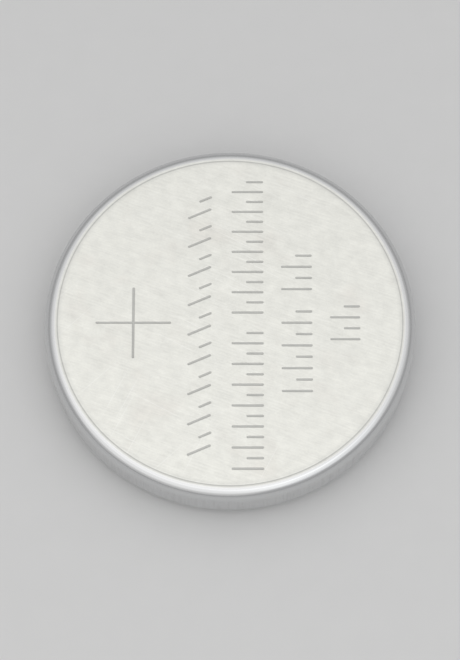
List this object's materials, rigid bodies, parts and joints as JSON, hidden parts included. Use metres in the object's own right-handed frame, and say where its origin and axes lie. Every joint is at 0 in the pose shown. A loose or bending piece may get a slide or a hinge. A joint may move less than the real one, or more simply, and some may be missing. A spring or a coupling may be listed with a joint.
{
  "type": "lithium coin cell",
  "caption": "Round flat lithium coin cell: a steel can crimped over a gasket and a stepped steel cap, with the electrodes and separator inside.",
  "frame": {"origin": "middle of the flat negative face, the lowest plane of the cell as it lies", "axes": "+Z out of the flat positive face, along the axis of revolution; X and Y lie in the negative face, and the polarity sign of the dressed model lies on the -X side"},
  "size_m": [0.02, 0.02, 0.0032],
  "materials": {
    "can_steel": "nickel-plated stainless sheet, fine matte rolled face, bright bends",
    "cap_steel": "stainless sheet, satin pressed finish",
    "gasket_plastic": "natural polypropylene, milky, slightly waxy",
    "cathode_powder": "pressed black manganese dioxide and graphite powder, matte with a faint metallic sheen",
    "ring_steel": "thin stainless sheet, drawn",
    "separator_felt": "white nonwoven polypropylene, pressed fibres",
    "lithium_foil": "soft silvery foil with a dull grey skin"
  },
  "bodies": {
    "root": {"positive_can": "can_steel", "sealing_gasket": "gasket_plastic", "negative_cap": "cap_steel", "cathode_pellet": "cathode_powder", "cathode_collector_ring": "ring_steel", "separator": "separator_felt", "lithium_anode": "lithium_foil"}
  },
  "joints": []
}
